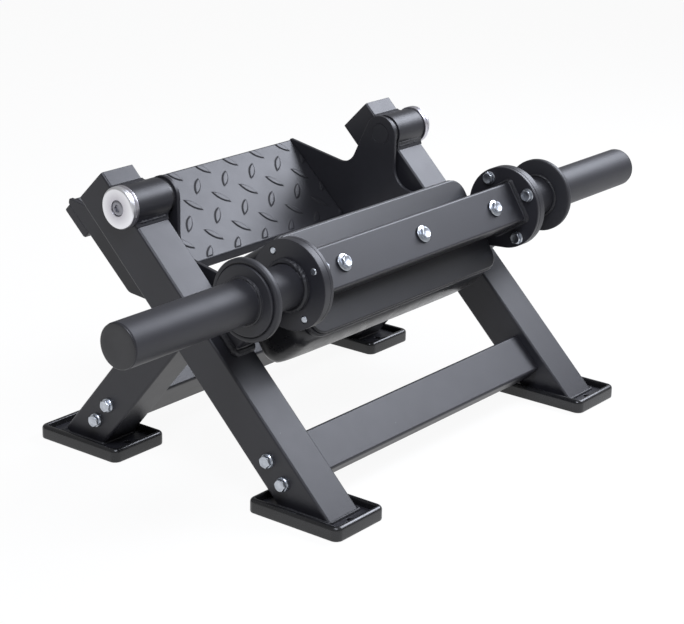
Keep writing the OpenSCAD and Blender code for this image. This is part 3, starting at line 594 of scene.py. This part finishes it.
def tread_surface():
    """Height over the plate: each bar is the overlap of two wide circles, its height falling from a crowned
    middle by a steep rounded flank to nothing at the outline. The painted flank shade is a bell curve across
    that slope, strongest where it looks down and to the left, away from the light."""
    bend = math.pi / 2 - TREAD_ANGLE
    tangent = FOLD_R * math.tan(bend / 2)
    flat_end = TREAD_LEN - tangent
    down = np.concatenate([np.linspace(TREAD_EDGE, flat_end, TREAD_ROWS),
                           flat_end + FOLD_R * np.linspace(0, bend, 7)[1:],
                           flat_end + FOLD_R * bend + np.linspace(0, TREAD_LIP - tangent, 6)[1:]])
    turn = np.clip((down - flat_end) / FOLD_R, 0, bend)
    past = np.maximum(down - flat_end - FOLD_R * bend, 0)
    line_y = FOLD_R * (1 - np.cos(turn)) + past * math.sin(bend)
    line_z = -np.minimum(down, flat_end) - FOLD_R * np.sin(turn) - past * math.cos(bend)
    half = TREAD_W / 2 - TREAD_GAP
    gx, gz = np.meshgrid(np.linspace(-half, half, TREAD_COLUMNS), -down)
    arc = (LOZENGE_L ** 2 + LOZENGE_W ** 2) / (4 * LOZENGE_W)
    height = np.zeros_like(gx)
    painted_flank_shade = np.zeros_like(gx)

    def add(cx, cz, lean):
        """Raises a bar about a middle, its length turned from the x axis by the lean."""
        nonlocal height, painted_flank_shade
        u = (gx - cx) * math.cos(lean) + (gz - cz) * math.sin(lean)
        w = -(gx - cx) * math.sin(lean) + (gz - cz) * math.cos(lean)
        across = np.abs(w) + arc - LOZENGE_W / 2
        reach = np.hypot(u, across)
        inside = arc - reach
        t = np.clip(inside / LOZENGE_RUN, 0, 1)
        crown = 0.93 + 0.07 * np.clip(inside / 4, 0, 1)
        height = np.maximum(height, LOZENGE_H * t * t * (3 - 2 * t) * crown)
        out_u, out_w = u / reach, np.sign(w) * across / reach
        out_x = out_u * math.cos(lean) - out_w * math.sin(lean)
        out_z = out_u * math.sin(lean) + out_w * math.cos(lean)
        # Painted shade: strongest on the side of the outline that looks down and to the left, away from the
        # light
        away = np.clip(0.5 - 0.5 * out_x - 0.25 * out_z, 0, 1)
        near = np.exp(-((inside - FLANK_IN) / FLANK_WIDE) ** 2) * (np.abs(u) < LOZENGE_L / 2 + FLANK_PAST)
        painted_flank_shade = np.maximum(painted_flank_shade, away * near)

    for i in range(-5, 6):
        for j in range(-1, 5):
            add(LOZENGE_X + i * PITCH_X, -LOZENGE_DOWN - j * PITCH_S, math.pi / 4)
            add(LOZENGE_X + (i + 0.5) * PITCH_X, -LOZENGE_DOWN - (j - 0.5) * PITCH_S, -math.pi / 4)
    border = np.minimum(np.minimum(gx + TREAD_W / 2, TREAD_W / 2 - gx), -TREAD_EDGE - gz)
    height *= np.clip(border / BORDER, 0, 1) * np.clip(gz + flat_end, 0, 1)
    painted_flank_shade *= gz > -flat_end
    roll = EDGE_ROLL * (1 - np.sqrt(1 - np.clip(1 - border / BORDER, 0, 0.98) ** 2))
    facing = turn[:, None]
    top = np.stack([gx, line_y[:, None] + (roll - height) * np.cos(facing),
                    line_z[:, None] + (roll - height) * np.sin(facing)], -1)
    rows, columns = gx.shape
    index = np.arange(rows * columns).reshape(rows, columns)
    behind = np.array([[TREAD_T, -TREAD_EDGE], [TREAD_T, -flat_end],
                       [line_y[-1] + TREAD_T * math.cos(bend), line_z[-1] + TREAD_T * math.sin(bend)]])
    back = np.array([[x, y, z] for x in (-half, half) for y, z in behind])
    b = rows * columns
    faces = grid_faces(rows, columns, around=False)
    faces += [[b, b + 1, b + 4, b + 3], [b + 1, b + 2, b + 5, b + 4]]
    faces.append([*index[0, ::-1], b, b + 3])
    faces.append([*index[-1, :], b + 5, b + 2])
    faces.append([*index[:, 0], b + 2, b + 1, b])
    faces.append([*index[::-1, -1], b + 3, b + 4, b + 5])
    points = at_tread(np.concatenate([top.reshape(-1, 3), back]))
    piece = make_piece("tread_surface", points, faces, COAT_TREAD, "cradle",
                       ["tread_plate"], 50)
    faced_outward(piece)
    # The painted flank shade goes to the tread's material as a number on each point
    flank_shade_marks = np.concatenate([painted_flank_shade.ravel(), np.zeros(len(back))]).astype(np.float32)
    point_marks(piece, "painted_flank_shade", np.clip(flank_shade_marks * FLANK_SHADE_DARKEST, 0, 1))


tread_surface()


# Rubber feet: a tray with a rounded lip, its floor under the steel plate, ribs underneath
FOOT_CORNER, FOOT_LIP_OUT, FOOT_LIP_IN, FOOT_FLOOR, FOOT_WALL = 14, 4.4, 2.3, 3.0, 6.95


def foot_shape(front_y, hole_y):
    """Rings from the floor hole outwards under the foot, up the bulged side, over the round lip, down the
    inner wall and back in to the hole; each ring is a rounded rectangle or a circle about the hole."""
    count = 4 * FOOT_CORNER
    centre = np.array([FOOT_X, front_y + FOOT_L / 2])

    def ring(inset, z):
        """The foot's outline at a height, drawn in by an inset."""
        r = max(FOOT_ROUND - inset, 2.5)
        p = rounded_outline(FOOT_W - 2 * inset, FOOT_L - 2 * inset, r, FOOT_CORNER) + centre
        return np.concatenate([p, np.full((count, 1), z)], 1)

    def hole(r, z):
        """A circle about the hole at a height, its points at the angles of a rounded rectangle's."""
        base = rounded_outline(FOOT_W - 30, FOOT_L - 30, 5, FOOT_CORNER) + centre - np.array([FOOT_X, hole_y])
        a = np.arctan2(base[:, 1], base[:, 0])
        return np.stack([FOOT_X + r * np.cos(a), hole_y + r * np.sin(a), np.full(count, z)], -1)

    rings = [hole(4.2, FOOT_FLOOR), hole(4.2, 0.4), hole(4.6, 0.0), ring(9.0, 0.0), ring(8.4, 0.9),
             ring(6.6, 0.9), ring(6.0, 0.0), ring(1.2, 0.0), ring(0.5, 0.3), ring(0.15, 0.9), ring(0.0, 2.2),
             ring(0.0, 6.0), ring(0.0, FOOT_H - FOOT_LIP_OUT)]
    for a in np.radians(np.arange(12, 91, 13)):
        rings.append(ring(FOOT_LIP_OUT * (1 - math.cos(a)),
                          FOOT_H - FOOT_LIP_OUT + FOOT_LIP_OUT * math.sin(a)))
    for a in np.radians(np.arange(15, 91, 15)):
        rings.append(ring(4.6 + FOOT_LIP_IN * math.sin(a), FOOT_H - FOOT_LIP_IN + FOOT_LIP_IN * math.cos(a)))
    rings += [ring(6.9, FOOT_H - 5), ring(FOOT_WALL, PLATE_TOP + 0.6), ring(FOOT_WALL, FOOT_FLOOR + 0.2),
              ring(7.4, FOOT_FLOOR)]
    return lofted(rings, closed=True)


for end, front_y, hole_y in (("front", FRONT_FOOT_Y, FRONT_HOLE_Y), ("rear", REAR_FOOT_Y, REAR_HOLE_Y)):
    for side, points, faces in right_and_left(foot_shape(front_y, hole_y)):
        make_piece(end + "_" + side + "_rubber_foot", on_floor(points), faces, RUBBER, "stand",
                   [end + "_" + side + "_foot"], 60)


# Axle caps: turned discs with a polished round shoulder, a groove, and a recess for the screw; the shoulder's
# lighter colour is a painted highlight
CAP_IN, CAP_R, CAP_T, CAP_SCREW_R = 262.3, 23.7, 11.0, 8.5
CAP_SHOULDER, CAP_RECESS, CAP_BORE = 3.4, 2.75, 5.2
CAP_POLISHED_HIGHLIGHT_ROWS = slice(7, 18)


def cap_shape():
    """A lathe profile from the back, out along the rim, round the shoulder, over the face into the recess."""
    rows = [(0, CAP_BORE), (0, CAP_R - 0.6), (0.6, CAP_R), (4.6, CAP_R), (4.9, CAP_R - 0.25),
            (5.3, CAP_R - 0.25), (5.6, CAP_R)]
    rows += [(CAP_T - CAP_SHOULDER + CAP_SHOULDER * math.sin(a), CAP_R - CAP_SHOULDER * (1 - math.cos(a)))
             for a in np.radians(np.arange(0, 86, 9))]
    rows += [(CAP_T, CAP_R - 3.6), (CAP_T, CAP_SCREW_R + 0.9), (CAP_T - 0.5, CAP_SCREW_R + 0.35),
             (CAP_T - CAP_RECESS, CAP_SCREW_R + 0.25), (CAP_T - CAP_RECESS, CAP_BORE)]
    return turned(rows, CAP_IN, FINE_AROUND, closed=True)


def socket_screw_shape():
    """A lathe profile along the shank in the axle, round the low head and down its hexagon socket."""
    rows = [(-28, 4.6), (-2.35, 4.95), (-2.3, CAP_SCREW_R - 0.2), (-2.1, CAP_SCREW_R), (-1.0, CAP_SCREW_R),
            (-0.35, CAP_SCREW_R - 0.7), (-0.05, CAP_SCREW_R - 1.9), (0, 4.9), (-0.25, 4.5, 1.0),
            (-2.2, 4.3, 1.0), (-2.35, 3.0, 1.0)]
    return turned(rows, CAP_IN + CAP_T - 0.45)


for (side, cap_points, cap_faces), (_, screw_points, screw_faces) in zip(
        right_and_left(cap_shape()), right_and_left(socket_screw_shape())):
    cap = make_piece(side + "_turned_cap", at_pivot(cap_points), cap_faces, ALUMINIUM, "cradle",
                     [side + "_axle_cap"])
    # The polished shoulder's rows, which also carry the painted highlight
    polish_and_highlight_rows = np.zeros(len(cap_points) // FINE_AROUND, np.float32)
    polish_and_highlight_rows[CAP_POLISHED_HIGHLIGHT_ROWS] = 1
    point_marks(cap, "polish_and_highlight", np.repeat(polish_and_highlight_rows, FINE_AROUND))
    screw = make_piece(side + "_cap_screw", at_pivot(screw_points), screw_faces, DULL_ZINC, "cradle")
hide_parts("cap_screws")


# Bolts: a round flange, a hexagon with a chamfered top, and the shank
BOLT_R, WASHER_T, HEAD_TOP = 4.0, 1.8, 1.3872
FIRST_TURN, NEXT_TURN = 0.35, 1.9


def hex_bolt(length, flange=2.05, across=1.62):
    """A lathe profile from the shank's tip to the head's middle along +x, with the head's underside at x = 0.
    Sizes over the head are shares of the shank's radius."""
    r = BOLT_R
    top = HEAD_TOP * r
    rows = [(-length, r * 0.72), (-length + 0.8, r * 0.96), (-0.01, r * 0.96), (0, flange * r * 0.98),
            (0.1 * r, flange * r), (0.2 * r, flange * r * 0.97), (0.42 * r, across * r * 1.16),
            (0.44 * r, across * r * 1.155, 1.0), (top - 0.24 * r, across * r * 1.155, 1.0),
            (top - 0.1 * r, across * r * 1.06, 0.55), (top, across * r * 0.93), (top, across * r * 0.80),
            (top - 0.09 * r, across * r * 0.68), (top - 0.09 * r, 0.3)]
    return outward(*turned(rows, 0.0, BOLT_AROUND))


def bolts_at(name, shape, places, frame_of, body, gone):
    """Copies of a bolt at places in a local frame, each turned a little further than the last; the head looks
    along +x for a way of 1, -x for -1, and forward for 0."""
    parts = []
    points, faces = shape
    for k, (*place, way) in enumerate(places):
        turn = FIRST_TURN + NEXT_TURN * k
        c, s = math.cos(turn), math.sin(turn)
        y = points[:, 1] * c - points[:, 2] * s
        z = points[:, 1] * s + points[:, 2] * c
        p = np.stack([points[:, 0], y, z], -1)
        f = faces
        if way == 0:
            p = np.stack([p[:, 1], -p[:, 0], p[:, 2]], -1)
        elif way < 0:
            p, f = mirrored(p, f)
        parts.append((p + np.array(place), f))
    points, faces = merged(parts)
    make_piece(name, frame_of(points), faces, ZINC, body, [gone], 32)


CROSS_MAIN_UP, CROSS_LEG_UP, FRAME_BOLT_HALF = 92.15, 63.0, 15.0
DISC_BOLT_CIRCLE, DISC_BOLT_FIRST = 40, 57
PAD_BOLT_STEP = 144.5
for end, up, frame_of, depth in (("front", CROSS_MAIN_UP, along_main, TUBE / 2),
                                 ("rear", CROSS_LEG_UP, along_leg, 0.0)):
    spots = [(way * (TUBE_OUT + WASHER_T), depth, up + k * FRAME_BOLT_HALF, way)
             for way in (1, -1) for k in (1, -1)]
    bolts_at(end + "_frame_hex_bolts", hex_bolt(61.0), spots, frame_of, "stand", end + "_frame_bolts")
angles = [math.radians(DISC_BOLT_FIRST + 90 * k) for k in range(4)]
spots = [(way * (SIDE_IN - 0.05), DISC_BOLT_CIRCLE * math.cos(a), DISC_BOLT_CIRCLE * math.sin(a), -way)
         for way in (1, -1) for a in angles]
bolts_at("disc_hex_bolts", hex_bolt(14.9), spots, at_disc, "cradle", "disc_bolts")
spots = [(k * PAD_BOLT_STEP, -TUBE / 2 - WASHER_T, 0.0, 0) for k in (-1, 0, 1)]
bolts_at("pad_hex_bolts", hex_bolt(63.0, flange=2.5, across=1.58), spots, at_bar, "cradle", "pad_bolts")


# Pad plate and board: slabs with softly rolled edges
PLATE_W, PLATE_UP, PLATE_LOW, PLATE_ROUND = 350.0, 55.5, 60.0, 18.0


def rolled_slab(grow, y0, y1, roll):
    """The pad plate's rounded rectangle, grown all round, between two depths. Each ring's inset follows a
    quarter circle at the front edge and another at the rear edge."""
    w, h, r = PLATE_W + 2 * grow, PLATE_UP + PLATE_LOW + 2 * grow, PLATE_ROUND + grow
    steps = np.radians(np.arange(0, 91, 18))
    rings = [(roll * (1 - math.sin(a)), y0 + roll * (1 - math.cos(a))) for a in steps]
    rings += [(roll * (1 - math.sin(a)), y1 - roll * (1 - math.cos(a))) for a in steps[::-1]]
    out = []
    for inset, y in rings:
        p = rounded_outline(w - 2 * inset, h - 2 * inset, r - inset, 14)
        out.append(np.stack([p[:, 0], np.full(len(p), y), p[:, 1] + (PLATE_UP - PLATE_LOW) / 2], -1))
    return outward(*lofted(out))


for name, slab, look, slot, gone in (
        ("rolled_pad_plate", rolled_slab(0.0, 25.0, 28.95, 1.7), COAT_PLATE, "powder_coat", "pad_plate"),
        ("wrapped_pad_board", rolled_slab(2.0, 29.05, 36.9, 2.6), BOARD, "pad_board", "pad_board")):
    flat_faces_shaded_flat(make_piece(name, at_bar(slab[0]), slab[1], look, "cradle", [gone], 60))


# Toe pad: foam under vinyl, crowned behind, drawn in where it meets the board
PAD_W, PAD_H, PAD_LOW, PAD_T, PAD_FRONT, PAD_HANG = 370.0, 117.5, 2.5, 81.0, 37.3, 8.5
PAD_ROOT, PAD_SHOULDER, PAD_ROLL, PAD_CROWN_FROM, PAD_CROWN = 0.16, 0.72, 0.20, 0.92, 0.075
PAD_INSET, PAD_DRAWN_IN, PAD_ROLLED_IN, PAD_ROUND, PAD_HANG_BY = 1.2, 4.0, 18.0, 17, 0.6


def pad_surface():
    """Rings of a rounded rectangle from the board to the crown: the outline swells from a drawn-in root,
    stays full, rolls over, then closes on a crowned rear face; its underside hangs lower behind the board."""
    rings = []
    depth = np.concatenate([np.linspace(0, PAD_ROOT, 6), np.linspace(0.2, PAD_SHOULDER, 10),
                            PAD_SHOULDER + PAD_ROLL * np.sin(np.linspace(0.1, math.pi / 2, 9))])
    for d in depth:
        inset = PAD_INSET
        if d < PAD_ROOT:
            inset += PAD_DRAWN_IN * (1 - d / PAD_ROOT) ** 2
        elif d > PAD_SHOULDER:
            q = min((d - PAD_SHOULDER) / PAD_ROLL, 1.0)
            inset += PAD_ROLLED_IN * (1 - math.sqrt(max(1 - q * q, 0.0)))
        hang = PAD_HANG * math.sin(math.pi / 2 * min(d / PAD_HANG_BY, 1.0))
        high = PAD_H / 2 - PAD_LOW - inset
        low = -PAD_H / 2 - PAD_LOW - hang + inset
        p = rounded_outline(PAD_W - 2 * inset, high - low, max(PAD_ROUND - 0.15 * inset, 8), 12)
        behind = np.full(len(p), PAD_FRONT + d * PAD_T)
        rings.append(np.stack([p[:, 0], behind, p[:, 1] + (high + low) / 2], -1))
    last = rings[-1]
    middle = last.mean(0)
    for q in np.linspace(0.88, 0.06, 12):
        flat = middle + (last - middle) * np.array([1 - (1 - q) * 0.98, 1, q])
        flat[:, 1] = PAD_FRONT + PAD_T * PAD_CROWN_FROM + (PAD_T * PAD_CROWN) * (1 - q ** 2)
        rings.append(flat)
    return outward(*lofted(rings))


CLOTH_VOXEL, CLOTH_FRAMES, CLOTH_HELD, CLOTH_MOST = 0.0055, 16, 7, 0.0022


def point_places(mesh):
    """The points of a mesh as rows."""
    flat = np.zeros(len(mesh.vertices) * 3)
    mesh.vertices.foreach_get("co", flat)
    return flat.reshape(-1, 3)


def simulated_pad(piece):
    """Remeshes the pad evenly and swells it as cloth under pressure, held where it meets the board. Each
    point's move is then drawn in by a hyperbolic tangent to stay under CLOTH_MOST, about two millimetres."""
    scene = bpy.context.scene
    bpy.context.view_layer.objects.active = piece
    piece.select_set(True)
    remesh = piece.modifiers.new("even_mesh", "REMESH")
    remesh.mode = "VOXEL"
    remesh.voxel_size = CLOTH_VOXEL
    bpy.ops.object.modifier_apply(modifier=remesh.name)
    mesh = piece.data
    rest = point_places(mesh)
    local = rest * 1000 - BAR
    depth = local[:, 1] * math.cos(BAR_TILT) - local[:, 2] * math.sin(BAR_TILT)
    held = piece.vertex_groups.new(name="held")
    held.add(np.nonzero(depth < PAD_FRONT + CLOTH_HELD)[0].tolist(), 1.0, "REPLACE")
    cloth = piece.modifiers.new("foam", "CLOTH")
    cloth.settings.quality = 5
    cloth.settings.mass = 0.4
    cloth.settings.tension_stiffness = 25
    cloth.settings.compression_stiffness = 25
    cloth.settings.bending_stiffness = 4
    cloth.settings.use_pressure = True
    cloth.settings.uniform_pressure_force = 3.0
    cloth.settings.vertex_group_mass = "held"
    cloth.settings.effector_weights.gravity = 0
    cloth.point_cache.frame_start = scene.frame_start = 1
    cloth.point_cache.frame_end = scene.frame_end = CLOTH_FRAMES
    for k in range(1, CLOTH_FRAMES + 1):
        scene.frame_set(k)
    swollen = piece.evaluated_get(bpy.context.evaluated_depsgraph_get())
    move = point_places(swollen.data) - rest
    far = np.linalg.norm(move, axis=1)
    move *= (CLOTH_MOST * np.tanh(far / CLOTH_MOST) / np.maximum(far, 1e-9))[:, None]
    piece.modifiers.remove(cloth)
    piece.vertex_groups.clear()
    scene.frame_set(1)
    mesh.vertices.foreach_set("co", (rest + move).ravel())
    mesh.update()
    finer = piece.modifiers.new("finer", "SUBSURF")
    finer.levels = finer.render_levels = 1
    bpy.ops.object.modifier_apply(modifier=finer.name)
    piece.data.shade_smooth()
    piece.select_set(False)


points, faces = pad_surface()
cushion = make_piece("toe_cushion", at_bar(points), faces, VINYL, "cradle", ["toe_pad"], 80)
simulated_pad(cushion)


# End plugs, pressed into the horns and capping their ends, and the horns' collars
PLUG_R = HORN_R - 4.05
RIM_R, RIM_ROLL = 42.2, 2.8


def plug_shape():
    """A lathe profile: the sleeve inside the horn, then a thin cap over the tube's end with a round edge and
    a face that dips a little in its middle."""
    r = PLUG_R
    rows = [(-16, r - 3.0), (-16, r - 0.3), (-15, r), (-0.9, r), (0.35, r + 0.2), (0.35, HORN_R - 1.3),
            (0.45, HORN_R - 0.8), (0.8, HORN_R - 0.5), (1.2, HORN_R - 0.6), (1.55, HORN_R - 1.0),
            (1.7, HORN_R - 1.8), (1.65, r * 0.8), (1.35, r * 0.4), (1.25, 0.4)]
    return turned(rows, HORN_OUT)


def collar_shape():
    """A closed lathe profile: a flat back, a rolled rim, a band, a narrow groove and a raised middle."""
    rows = [(0, HORN_R - 0.4), (0, 43.4), (0.5, 44.6), (1.4, COLLAR_R), (5.2, COLLAR_R)]
    rows += [(5.2 + RIM_ROLL * math.sin(a), RIM_R + RIM_ROLL * math.cos(a))
             for a in np.radians(np.arange(15, 91, 15))]
    rows += [(8, 40.1), (7.6, 39.6), (6.6, 39.2), (6.6, 38.8), (8.4, 38.5), (9.4, 38.3), (9.85, 37.7),
             (10, 36.8), (10, HORN_R - 0.4)]
    return turned(rows, COLLAR_X, FINE_AROUND, closed=True)


for (side, plug_points, plug_faces), (_, ring_points, ring_faces) in zip(
        right_and_left(plug_shape()), right_and_left(collar_shape())):
    make_piece(side + "_horn_plug", at_disc(plug_points), plug_faces, NYLON, "cradle",
               [side + "_end_plug"])
    make_piece(side + "_turned_collar", at_disc(ring_points), ring_faces, COAT_HORN, "cradle",
               [side + "_collar"], 50)


# Welds
def ring_path(x, radius):
    """A circle about the x axis: the radius times the cosine and sine of even steps of angle."""
    a = np.linspace(0, 2 * math.pi, FINE_AROUND, endpoint=False)
    return np.stack([np.full(FINE_AROUND, x), radius * np.cos(a), radius * np.sin(a)], -1)


def welds(name, beads, frame_of, body):
    """Weld beads on both sides of the part as one piece."""
    points, faces = merged(both_sides(beads))
    make_piece(name, frame_of(points), faces, COAT_WELD, body)


welds("horn_welds", [
    bead(ring_path(FLANGE_OUT + 2.3, HORN_R + 2.3), 3.4, closed=True, ripple=0.07, pitch=5.0),
    bead(ring_path(COLLAR_FACE + 1.0, HORN_R + 1.0), 1.9, closed=True, ripple=0.05, pitch=4.0, seed=3),
    bead(ring_path(COLLAR_X - 1.2, HORN_R + 1.2), 2.2, closed=True, ripple=0.06, pitch=4.0, seed=5),
], at_disc, "cradle")

outline = rounded_outline(TUBE + 3.2, TUBE + 3.2, 4.5, 8)
square = np.stack([np.full(len(outline), SIDE_IN - 1.7), outline[:, 0], outline[:, 1]], -1)
welds("bar_welds", [bead(square, 2.0, closed=True, ripple=0.08, pitch=5.0, seed=1)], at_bar, "cradle")

TREAD_WELD_X, TREAD_WELD_Y = SIDE_IN - 0.8, TREAD_T + 0.6
welds("tread_welds", [
    bead([[TREAD_WELD_X, TREAD_WELD_Y, z0], [TREAD_WELD_X, TREAD_WELD_Y, z1]], 2.2, pitch=3.4, seed=z0)
    for z0, z1 in ((-8, -30), (-52, -74), (-96, -118))
], at_tread, "cradle")

POST_X, POST_W, POST_UP, POST_D = 228.5, 29.0, 244.94, 46.0
foot = rounded_outline(POST_W, POST_D, 4.0, 8) + np.array([POST_X, POST_UP])
foot = np.stack([foot[:, 0], np.full(len(foot), -2.4), foot[:, 1]], -1)
welds("stop_post_welds", [bead(foot, 4.3, closed=True, ripple=0.08, pitch=6.0, seed=4)], along_main, "stand")

hub_beads = []
for k, seed in ((1, 2), (-1, 7)):
    z = PIVOT_UP + k * (HUB_R + 0.9)
    path = [[TUBE_IN + 2, -0.9, z], [TUBE_OUT - 2, -0.9, z]]
    hub_beads.append(bead(path, 2.7, pitch=6.0, seed=seed, ripple=0.12))
welds("hub_welds", hub_beads, along_main, "stand")

main_front = MAIN_Y + PLATE_TOP / math.tan(MAIN_ANGLE)
leg_front = LEG_Y - PLATE_TOP / math.tan(LEG_ANGLE) - TUBE / 2 / math.sin(LEG_ANGLE)
foot_beads = []
for seed, (front, angle) in enumerate(((main_front, MAIN_ANGLE), (leg_front, LEG_ANGLE))):
    rear = front + TUBE / math.sin(angle)
    path = rounded_outline(TUBE + 1.2, rear - front + 1.2, 3.6, 8)
    path += np.array([TUBE_IN + TUBE / 2, (front + rear) / 2])
    path = np.concatenate([path, np.full((len(path), 1), PLATE_TOP + 0.6)], 1)
    foot_beads.append(bead(path, 1.9, closed=True, pitch=3.6, seed=seed))
welds("foot_plate_welds", foot_beads, on_floor, "stand")


# Floor, backdrop and light
FLOOR_HALF, FLOOR_DROP, FLOOR_SEEN, FLOOR_MIRRORED = 6.0, 0.0004, 0.93, 0.8
ROOM_LIGHT = 0.35


def shown_share(tree, seen_share, mirrored_share):
    """One share for rays straight from the camera or through something clear, another for mirrored rays."""
    path = tree.nodes.new("ShaderNodeLightPath")
    seen = math_node(tree, "MAXIMUM", path.outputs["Is Camera Ray"], path.outputs["Is Transmission Ray"])
    return math_node(tree, "MAXIMUM", math_node(tree, "MULTIPLY", seen, seen_share),
                     math_node(tree, "MULTIPLY", path.outputs["Is Glossy Ray"], mirrored_share))


def floor_material():
    """A pale floor that shows white to the camera and still takes a faint shadow."""
    made, tree, shader = material("pale_floor")
    shader.inputs["Base Color"].default_value = (0.95, 0.95, 0.95, 1)
    shader.inputs["Roughness"].default_value = 0.9
    shader.inputs["Specular IOR Level"].default_value = 0.1
    glow = node(tree, "ShaderNodeEmission", Color=(1, 1, 1, 1), Strength=1.0)
    mix = tree.nodes.new("ShaderNodeMixShader")
    tree.links.new(shown_share(tree, FLOOR_SEEN, FLOOR_MIRRORED), mix.inputs[0])
    tree.links.new(shader.outputs[0], mix.inputs[1])
    tree.links.new(glow.outputs[0], mix.inputs[2])
    tree.links.new(mix.outputs[0], tree.nodes["Material Output"].inputs[0])
    return made


def floor():
    """A square just under the feet."""
    h, z = FLOOR_HALF, -FLOOR_DROP
    mesh = bpy.data.meshes.new("floor")
    mesh.from_pydata([(-h, -h, z), (h, -h, z), (h, h, z), (-h, h, z)], [], [(0, 1, 2, 3)])
    plane = bpy.data.objects.new("floor", mesh)
    bpy.context.scene.collection.objects.link(plane)
    mesh.materials.append(floor_material())


floor()

LIGHT_COLOUR = (0.92, 0.96, 1.08)


def area_light(name, at, to, size, size_y, power):
    """A rectangular softbox at a place, aimed at another, that the camera doesn't see."""
    data = bpy.data.lights.new(name, "AREA")
    data.shape = "RECTANGLE"
    data.size, data.size_y, data.energy, data.color = size, size_y, power, LIGHT_COLOUR
    lamp = bpy.data.objects.new(name, data)
    lamp.location = at
    lamp.visible_camera = False
    lamp.rotation_euler = (Vector(to) - Vector(at)).to_track_quat("-Z", "Y").to_euler()
    bpy.context.scene.collection.objects.link(lamp)


area_light("key_softbox", (1.42, -0.28, 1.36), (0.05, -0.05, 0.18), 0.95, 0.85, 26)
area_light("left_softbox", (-0.72, -0.50, 1.32), (-0.05, -0.05, 0.18), 0.6, 0.6, 13)
area_light("front_fill", (1.10, -0.84, 1.26), (0.0, -0.12, 0.22), 0.8, 0.6, 11)

# The room is white to the camera and gives an even grey light to the part
scene = bpy.context.scene
scene.view_settings.view_transform = "Standard"
world = bpy.data.worlds.new("white_room")
scene.world = world
world.use_nodes = True
tree = world.node_tree
background = tree.nodes["Background"]
background.inputs[0].default_value = (1.0, 1.0, 1.0, 1)
shown = shown_share(tree, 1.0, ROOM_LIGHT)
tree.links.new(math_node(tree, "MAXIMUM", shown, ROOM_LIGHT), background.inputs[1])
